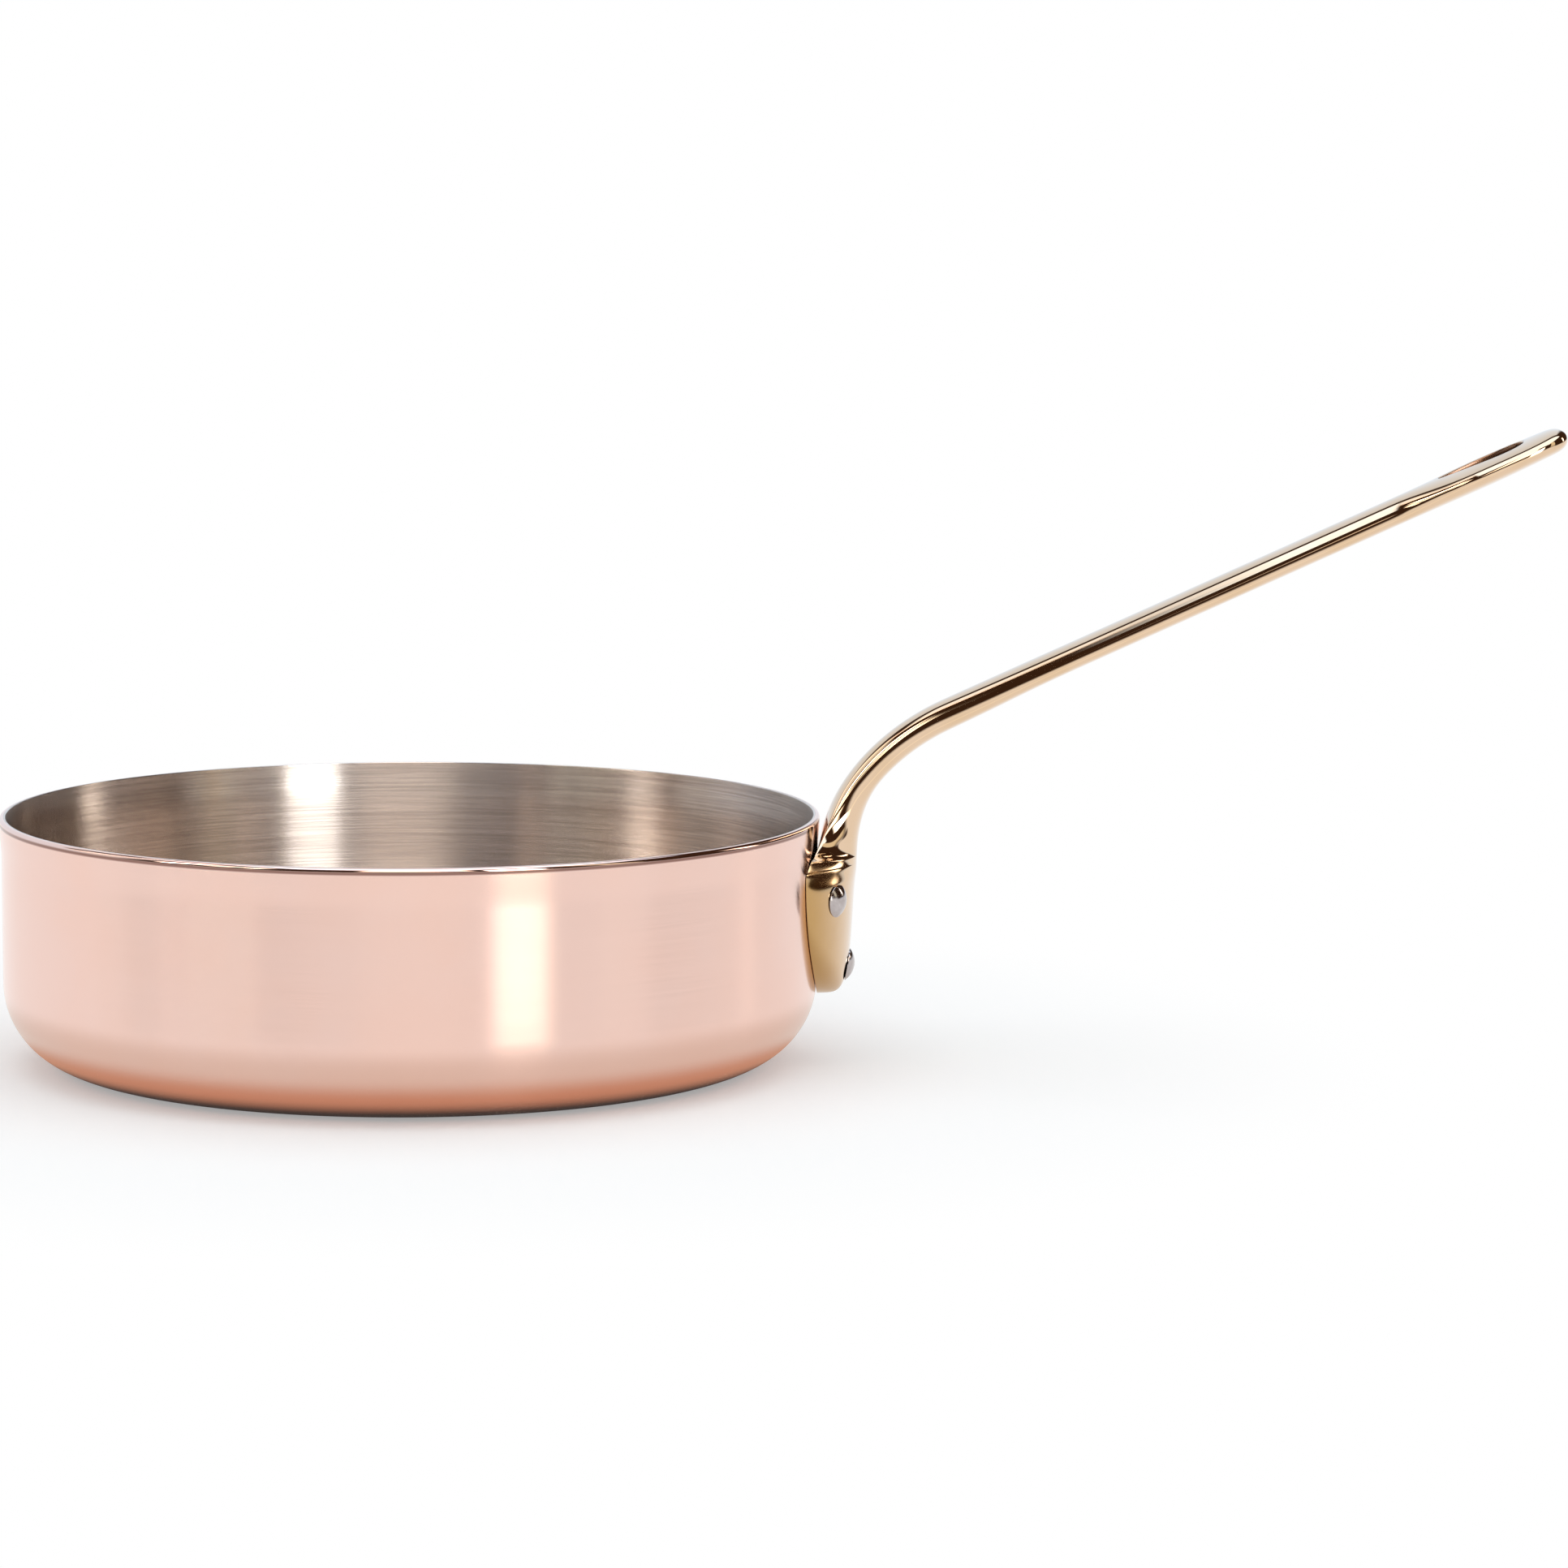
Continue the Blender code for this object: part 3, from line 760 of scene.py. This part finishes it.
# Finishes

def cloudTint(cloud, look, second):
    return cloud.step(*look["cloudBand"]).mix(colour(*look["colour"]), colour(*look[second]))


def brushedMetal(wire, tint, roughness, anisotropy, bump):
    # metal brushed round the Z axis, which draws its highlights out along that axis
    return wire.add(
        "ShaderNodeBsdfPrincipled",
        inputs={
            "Base Color": tint,
            "Metallic": 1.0,
            "Roughness": roughness,
            "Anisotropic": anisotropy,
            "Anisotropic Rotation": 0.25,       # a quarter turn
            "Normal": bump,
        },
    )


copperLook = {
    "colour": (0.92, 0.655, 0.575),
    "blush": (0.925, 0.64, 0.55),
    "cloud": 26,
    "cloudBand": (0.3, 0.7),
    "brush": (2.0, 2600),          # brush lines: how fine they are around and across
    "brushBump": 0.05,
    "roughness": 0.178,
    "brushRoughness": 0.04,
    "anisotropy": 1.0,
    "lip": (0.30, 0.17, 0.14),     # painted reflection: a dark line on the turned lip, where it would mirror the dark room
    "lipRoughness": 0.08,
    "lipLow": -0.0019,             # heights from the rim
    "lipHigh": -0.0010,
    "lipSoft": 0.0003,
    "glossLow": -0.0025,
    "glossHigh": -0.0015,
}


def polishedCopper():
    material, wire, place = startMaterial("polishedCopper")
    lines = brushLines(place, *copperLook["brush"])
    cloud = noise(place, copperLook["cloud"], detail=3.0)
    tint = cloudTint(cloud, copperLook, "blush")
    aboveRim = axesOf(place)[2] - pan["height"]
    # painted reflection: a dark band just under the rim, mixed into the copper's colour
    lip = aboveRim.band(copperLook["lipLow"], copperLook["lipHigh"], copperLook["lipSoft"])
    gloss = aboveRim.step(copperLook["glossLow"], copperLook["glossHigh"])
    roughness = copperLook["roughness"] + (lines - 0.5) * copperLook["brushRoughness"]
    roughness = roughness + gloss * (copperLook["lipRoughness"] - copperLook["roughness"])
    tint = lip.mix(tint, colour(*copperLook["lip"]))
    bump = brushBump(wire, lines, copperLook["brushBump"])
    finishMaterial(wire, brushedMetal(wire, tint, roughness, copperLook["anisotropy"], bump))
    return material


steelLook = {
    "light": (0.77, 0.684, 0.625),
    "dark": (0.64, 0.56, 0.508),
    "tintBand": (0.37, 0.63),
    "fine": (4.0, 2400),           # brush lines, as in the copper
    "coarse": (1.5, 1400),
    "fineShare": 0.5,
    "bump": 0.08,
    "sheen": 0.24,                 # roughness of the layer that shows the room's lights
    "haze": 0.42,                  # and of the layer that blurs them
    "brushRoughness": 0.05,
    "hazeShare": 0.18,
    "brushHaze": 0.12,
    "anisotropy": 1.0,
}


def brushedSteel():
    material, wire, place = startMaterial("brushedSteel")
    fine = brushLines(place, *steelLook["fine"])
    coarse = brushLines(place, *steelLook["coarse"])
    streaks = fine * steelLook["fineShare"] + coarse * (1 - steelLook["fineShare"])
    bump = brushBump(wire, fine, steelLook["bump"])
    tint = streaks.step(*steelLook["tintBand"]).mix(colour(*steelLook["dark"]), colour(*steelLook["light"]))
    sheen, haze = [
        brushedMetal(
            wire,
            tint,
            steelLook[layer] + (streaks - 0.5) * steelLook["brushRoughness"],
            steelLook["anisotropy"],
            bump,
        )
        for layer in ("sheen", "haze")
    ]
    share = steelLook["hazeShare"] + (coarse - 0.5) * steelLook["brushHaze"]
    finishMaterial(wire, wire.add("ShaderNodeMixShader", inputs={0: share, 1: sheen, 2: haze}))
    return material


brassLook = {
    "colour": (0.80, 0.585, 0.40),
    "deep": (0.77, 0.55, 0.35),
    "cloud": 60,
    "cloudBand": (0.35, 0.75),
    "roughness": 0.035,
    "cloudRoughness": 0.02,
    "lacquer": 0.7,
    "lacquerRoughness": 0.03,
    "plate": (0.55, 0.33, 0.12),   # painted shade: the plate's edge by the wall is darkened in its colour
    "plateShadeReach": 1.2,             # how far it stands out, in crowns of the plate
    "plateShadeRagged": 0.006,
    "plateShadeFade": (-0.004, 0.006),  # heights from the plate's top
    "plateRoughness": 0.15,
    "slot": (0.20, 0.10, 0.055),   # painted shade: the slot's wall is darkened in its colour
    "slotRoughness": 0.2,
    "slotInner": 0.0001,
    "slotMargin": 0.0005,
    "slotSoft": 0.0003,
}


def slotMask(x, y, z):
    # 1 on the slot's wall, from the same outline as the mesh
    end, lean = neckCurve(1.0)
    run = (x - end.x) * lean.x + (z - end.y) * lean.y + runs["gripStart"]
    share = ((run - runs["slotNear"]) / handle["slotLength"]).clamped()
    away = y.maths("ABSOLUTE", y) - slotShape(share) * slotScale() - handle["slotEnd"]
    margin = brassLook["slotMargin"]
    nearby = run.band(runs["slotNear"] - margin, runs["slotFar"] + margin, brassLook["slotSoft"])
    return nearby * (1 - away.step(brassLook["slotInner"], margin))


def polishedBrass():
    material, wire, place = startMaterial("polishedBrass")
    cloud = noise(place, brassLook["cloud"])
    x, y, z = axesOf(place)
    low, high = brassLook["plateShadeFade"]
    reach = handle["plateCrown"] * brassLook["plateShadeReach"]
    stand = (x * x + y * y) ** 0.5 + (cloud - 0.5) * brassLook["plateShadeRagged"]
    # painted shade: darker colour on the plate close by the wall, below its top
    edge = 1 - stand.step(handle["back"], handle["back"] + reach)
    edge = edge * (1 - z.step(handle["plateTop"] + low, handle["plateTop"] + high))
    slot = slotMask(x, y, z)
    tint = edge.mix(cloudTint(cloud, brassLook, "deep"), colour(*brassLook["plate"]))
    roughness = brassLook["roughness"] + cloud * brassLook["cloudRoughness"]
    roughness = roughness + edge * brassLook["plateRoughness"] + slot * brassLook["slotRoughness"]
    shader = wire.add(
        "ShaderNodeBsdfPrincipled",
        inputs={
            # painted shade on the slot's wall
            "Base Color": slot.mix(tint, colour(*brassLook["slot"])),
            "Metallic": 1.0,
            "Roughness": roughness,
            "Coat Weight": brassLook["lacquer"],
            "Coat Roughness": brassLook["lacquerRoughness"],
        },
    )
    finishMaterial(wire, shader)
    return material


rivetLook = {
    "colour": (0.55, 0.50, 0.49),
    "dull": (0.45, 0.40, 0.39),
    "cloud": 400,
    "cloudBand": (0.3, 0.8),
    "roughness": 0.14,
    "cloudRoughness": 0.1,
}


def domedSteel():
    material, wire, place = startMaterial("domedSteel")
    cloud = noise(place, rivetLook["cloud"], detail=3.0)
    shader = wire.add(
        "ShaderNodeBsdfPrincipled",
        inputs={
            "Base Color": cloudTint(cloud, rivetLook, "dull"),
            "Metallic": 1.0,
            "Roughness": rivetLook["roughness"] + (cloud - 0.5) * rivetLook["cloudRoughness"],
        },
    )
    finishMaterial(wire, shader)
    return material


# Studio

studio = {
    "floorSize": 6.0,
    "floorGap": 0.0001,
    "floorShade": 0.92,
    "floorGlow": 0.33,           # how light the deepest shadow stays
    "floorSeen": (0.70, 0.725, 0.74),
    "floorWhite": (0.15, 0.30),  # distances from the pan's axis between which it turns to plain white
    # the floor as reflections see it, with the pan's shadow and a warm glow painted in, from under the pan
    # outwards: where it turns to each next colour
    "floorShadowUnderPan": (0.05, 0.05, 0.05),
    "floorInMetal": [
        (0.103, 0.112, (0.60, 0.33, 0.22)),
        (0.112, 0.126, (0.76, 0.70, 0.65)),
        (0.128, 0.190, (0.97, 0.97, 0.97)),
    ],
    # streak of the strip light along the floor, in reflections: its source, azimuths, softness and colour
    "streakFrom": (0.0035, -0.0686),
    "streak": (28.5, 43, 3, (1.16, 1.15, 1.07)),
    "streakReach": (0.15, 0.24),
    "ambient": 0.50,
    "lampSize": 1.6,
    "lampPlace": (0.05, 0, 1.3),
    "lampLevel": 1.21,
}


def paleFloor():
    material, wire, place = startMaterial("paleFloor")
    cameraRay = wire.add("ShaderNodeLightPath", out="Is Camera Ray")
    glossyRay = Wire(wire.tree, cameraRay.socket.node.outputs["Is Glossy Ray"])
    x, y, _ = axesOf(place)
    reach = (x * x + y * y) ** 0.5
    real = wire.add("ShaderNodeBsdfDiffuse", inputs={"Color": colour(*[studio["floorShade"]] * 3)})
    seen = wire.add("ShaderNodeBsdfDiffuse", inputs={"Color": colour(*studio["floorSeen"])})
    glow = wire.add("ShaderNodeEmission", inputs={"Strength": studio["floorGlow"]})
    both = wire.add("ShaderNodeAddShader", inputs={0: seen, 1: glow})
    white = wire.add("ShaderNodeEmission", inputs={"Strength": 1.0})
    far = reach.step(*studio["floorWhite"])
    shown = wire.add("ShaderNodeMixShader", inputs={0: far, 1: both, 2: white})
    # reflections see the floor lit evenly, but for the pan's contact shadow and its warm glow close by
    tint = colour(*studio["floorShadowUnderPan"])
    for start, end, shade in studio["floorInMetal"]:
        tint = reach.step(start, end).mix(tint, colour(*shade))
    fromX, fromY = studio["streakFrom"]
    start, end, soft, streakTint = studio["streak"]
    azimuth = wire.maths("ARCTAN2", x - fromX, fromY - y).inDegrees()
    streak = azimuth.band(start, end, soft) * reach.step(*studio["streakReach"])
    inMetal = wire.add("ShaderNodeEmission", inputs={"Color": streak.mix(tint, colour(*streakTint))})
    unseen = wire.add("ShaderNodeMixShader", inputs={0: glossyRay, 1: real, 2: inMetal})
    finishMaterial(wire, wire.add("ShaderNodeMixShader", inputs={0: cameraRay, 1: unseen, 2: shown}))
    return material


def makeFloor(material):
    bm = bmesh.new()
    bmesh.ops.create_grid(bm, x_segments=2, y_segments=2, size=studio["floorSize"] / 2)
    bmesh.ops.translate(bm, verts=bm.verts, vec=(0, 0, -studio["floorGap"]))
    mesh = bpy.data.meshes.new("floor")
    bm.to_mesh(mesh)
    bm.free()
    mesh.materials.append(material)
    floor = addObject("floor", mesh)


def makeLamp():
    data = bpy.data.lights.new("overhead", "AREA")
    data.shape = "SQUARE"
    data.size = studio["lampSize"]
    # watts of a lamp with this brightness all over its face
    data.energy = studio["lampLevel"] * math.pi * studio["lampSize"] ** 2
    lamp = addObject("overhead", data)
    lamp.location = studio["lampPlace"]
    lamp.visible_glossy = False
    lamp.visible_camera = False


# Panels of the studio that only reflections see.
# Azimuth 0 is towards the camera and 90 towards the handle's end.
panels = [
    # azimuth from, to, softness, elevation from, to, colour
    (28.5, 43, 3, -20, 8, (2.1, 2.1, 1.95)),
    (25.8, 41.3, 0.8, 10, 38, (8.5, 8.6, 8.5)),
    (-12, 22, 1.5, 30, 65, (3.3, 2.95, 2.55)),
    (-61, -40, 2, -20, 2, (1.6, 1.65, 1.5)),
    (-46.5, -42.5, 1, 28, 45, (6.0, 5.8, 5.1)),
    (-60, -51.5, 1, 28, 50, (3.0, 3.0, 2.7)),
    (-74.5, -69.5, 1, 24, 52, (11.0, 10.4, 9.6)),
    (-111, -107, 1, 28, 65, (3.0, 2.5, 2.2)),
    (59, 72, 1, 13, 60, (0.9, 0.82, 0.62)),
    (110.5, 117.5, 1, 10, 28, (5.0, 4.5, 3.9)),
]

room = {
    "dark": (0.045, 0.022, 0.012),
    "white": (1.0, 1.0, 1.0),
    "whiteUpTo": 4,              # degrees above the horizon, on the left
    "whiteUpToRight": 9,
    "whiteFade": (-7, 5),
    "rightFrom": (-40, -15),     # azimuths over which the left turns into the right
    "softbox": (1.55, 1.8, 2.1),
    "softboxFrom": 66,           # degrees over the top, from the camera's side
    "softboxTo": 122,
    "softboxSoft": 2,
    "softboxLeft": -0.43,        # sideways over upwards
    "softboxRight": 0.6,
    "sideSoft": 0.03,
    "softboxFoot": (0.1, 0.2),   # upward share of a direction, where it comes in
    "strip": (1.3, 1.4, 1.5),    # a light behind it that reaches further left
    "stripFrom": 103,
    "stripFoot": (46, 52),
    "leftWall": (0.90, 0.88, 0.86),
    "leftWallFrom": -84,
    "leftWallTo": -118,
    "leftWallSoft": 5,
    "leftWallFoot": (2, 8),
    "leftWallTop": 44,
    "backdrop": (0.83, 0.91, 1.0),
    "backdropFrom": 134,
    "topSoft": 3,                # softness of the wall's top and the backdrop's
    "darkCorner": (74, 168),     # azimuths between which the right-hand side stays dark
    "darkCornerSoft": 4,
    "darkCornerFoot": (0, 5),
    "panelSoft": 6,              # in elevation
}


def makeRoom():
    world = bpy.data.worlds.new("room")
    bpy.context.scene.world = world
    world.use_nodes = True
    world.node_tree.nodes.clear()
    world.cycles.sampling_method = "NONE"
    wire = Wire(world.node_tree)
    look = wire.add("ShaderNodeTexCoord", out="Generated")
    x, y, z = axesOf(look)
    azimuth = wire.maths("ARCTAN2", x, -y).inDegrees()
    elevation = wire.maths("ARCSINE", z).inDegrees()
    over = wire.maths("ARCTAN2", z, -y).inDegrees()
    side = x / wire.maths("MAXIMUM", z, 0.05)       # kept finite towards the horizon
    white = colour(*room["white"])

    right = azimuth.step(*room["rightFrom"])
    top = room["whiteUpTo"] + right * (room["whiteUpToRight"] - room["whiteUpTo"])
    corner = azimuth.band(*room["darkCorner"], room["darkCornerSoft"])
    corner = corner * elevation.step(*room["darkCornerFoot"])
    low = (1 - (elevation - top).step(*room["whiteFade"])) * (1 - corner)
    shade = low.mix(colour(*room["dark"]), white)

    box = over.band(room["softboxFrom"], room["softboxTo"], room["softboxSoft"])
    box = box * z.step(*room["softboxFoot"])
    box = box * side.band(room["softboxLeft"], room["softboxRight"], room["sideSoft"])
    shade = box.mix(shade, colour(*room["softbox"]))

    strip = over.band(room["stripFrom"], room["softboxTo"], room["softboxSoft"])
    strip = strip * elevation.step(*room["stripFoot"])
    strip = strip * (1 - side.rise(room["softboxLeft"], room["sideSoft"]))
    shade = strip.mix(shade, colour(*room["strip"]))

    leftWall = azimuth.band(room["leftWallTo"], room["leftWallFrom"], room["leftWallSoft"])
    leftWall = leftWall * elevation.step(*room["leftWallFoot"])
    leftWall = leftWall * (1 - elevation.rise(room["leftWallTop"], room["topSoft"]))
    shade = leftWall.mix(shade, colour(*room["leftWall"]))

    backdrop = over.rise(room["backdropFrom"], room["topSoft"]) * (1 - corner)
    shade = backdrop.mix(shade, colour(*room["backdrop"]))

    for start, end, soft, bottom, top, tint in panels:
        mask = azimuth.band(start, end, soft) * elevation.band(bottom, top, room["panelSoft"])
        shade = mask.mix(shade, colour(*tint))

    cameraRay = wire.add("ShaderNodeLightPath", out="Is Camera Ray")
    paths = cameraRay.socket.node.outputs
    glossyRay = Wire(world.node_tree, paths["Is Glossy Ray"])
    clearRay = Wire(world.node_tree, paths["Is Transmission Ray"])
    ambient = colour(*[studio["ambient"]] * 3)
    shade = wire.maths("MAXIMUM", glossyRay, clearRay).mix(ambient, shade)
    shade = cameraRay.mix(shade, white)
    finishMaterial(wire, wire.add("ShaderNodeBackground", inputs={"Color": shade}), "ShaderNodeOutputWorld")


bpy.context.scene.view_settings.view_transform = "Standard"
makeCamera()
print("camera placed")
makeCopper(polishedCopper())
print("copper shell made")
makeLining(brushedSteel())
print("steel lining made")
makeHandle(polishedBrass())
print("brass handle made")
makeRivets(domedSteel())
print("rivets made")
makeFloor(paleFloor())
makeLamp()
makeRoom()
print("studio lit")
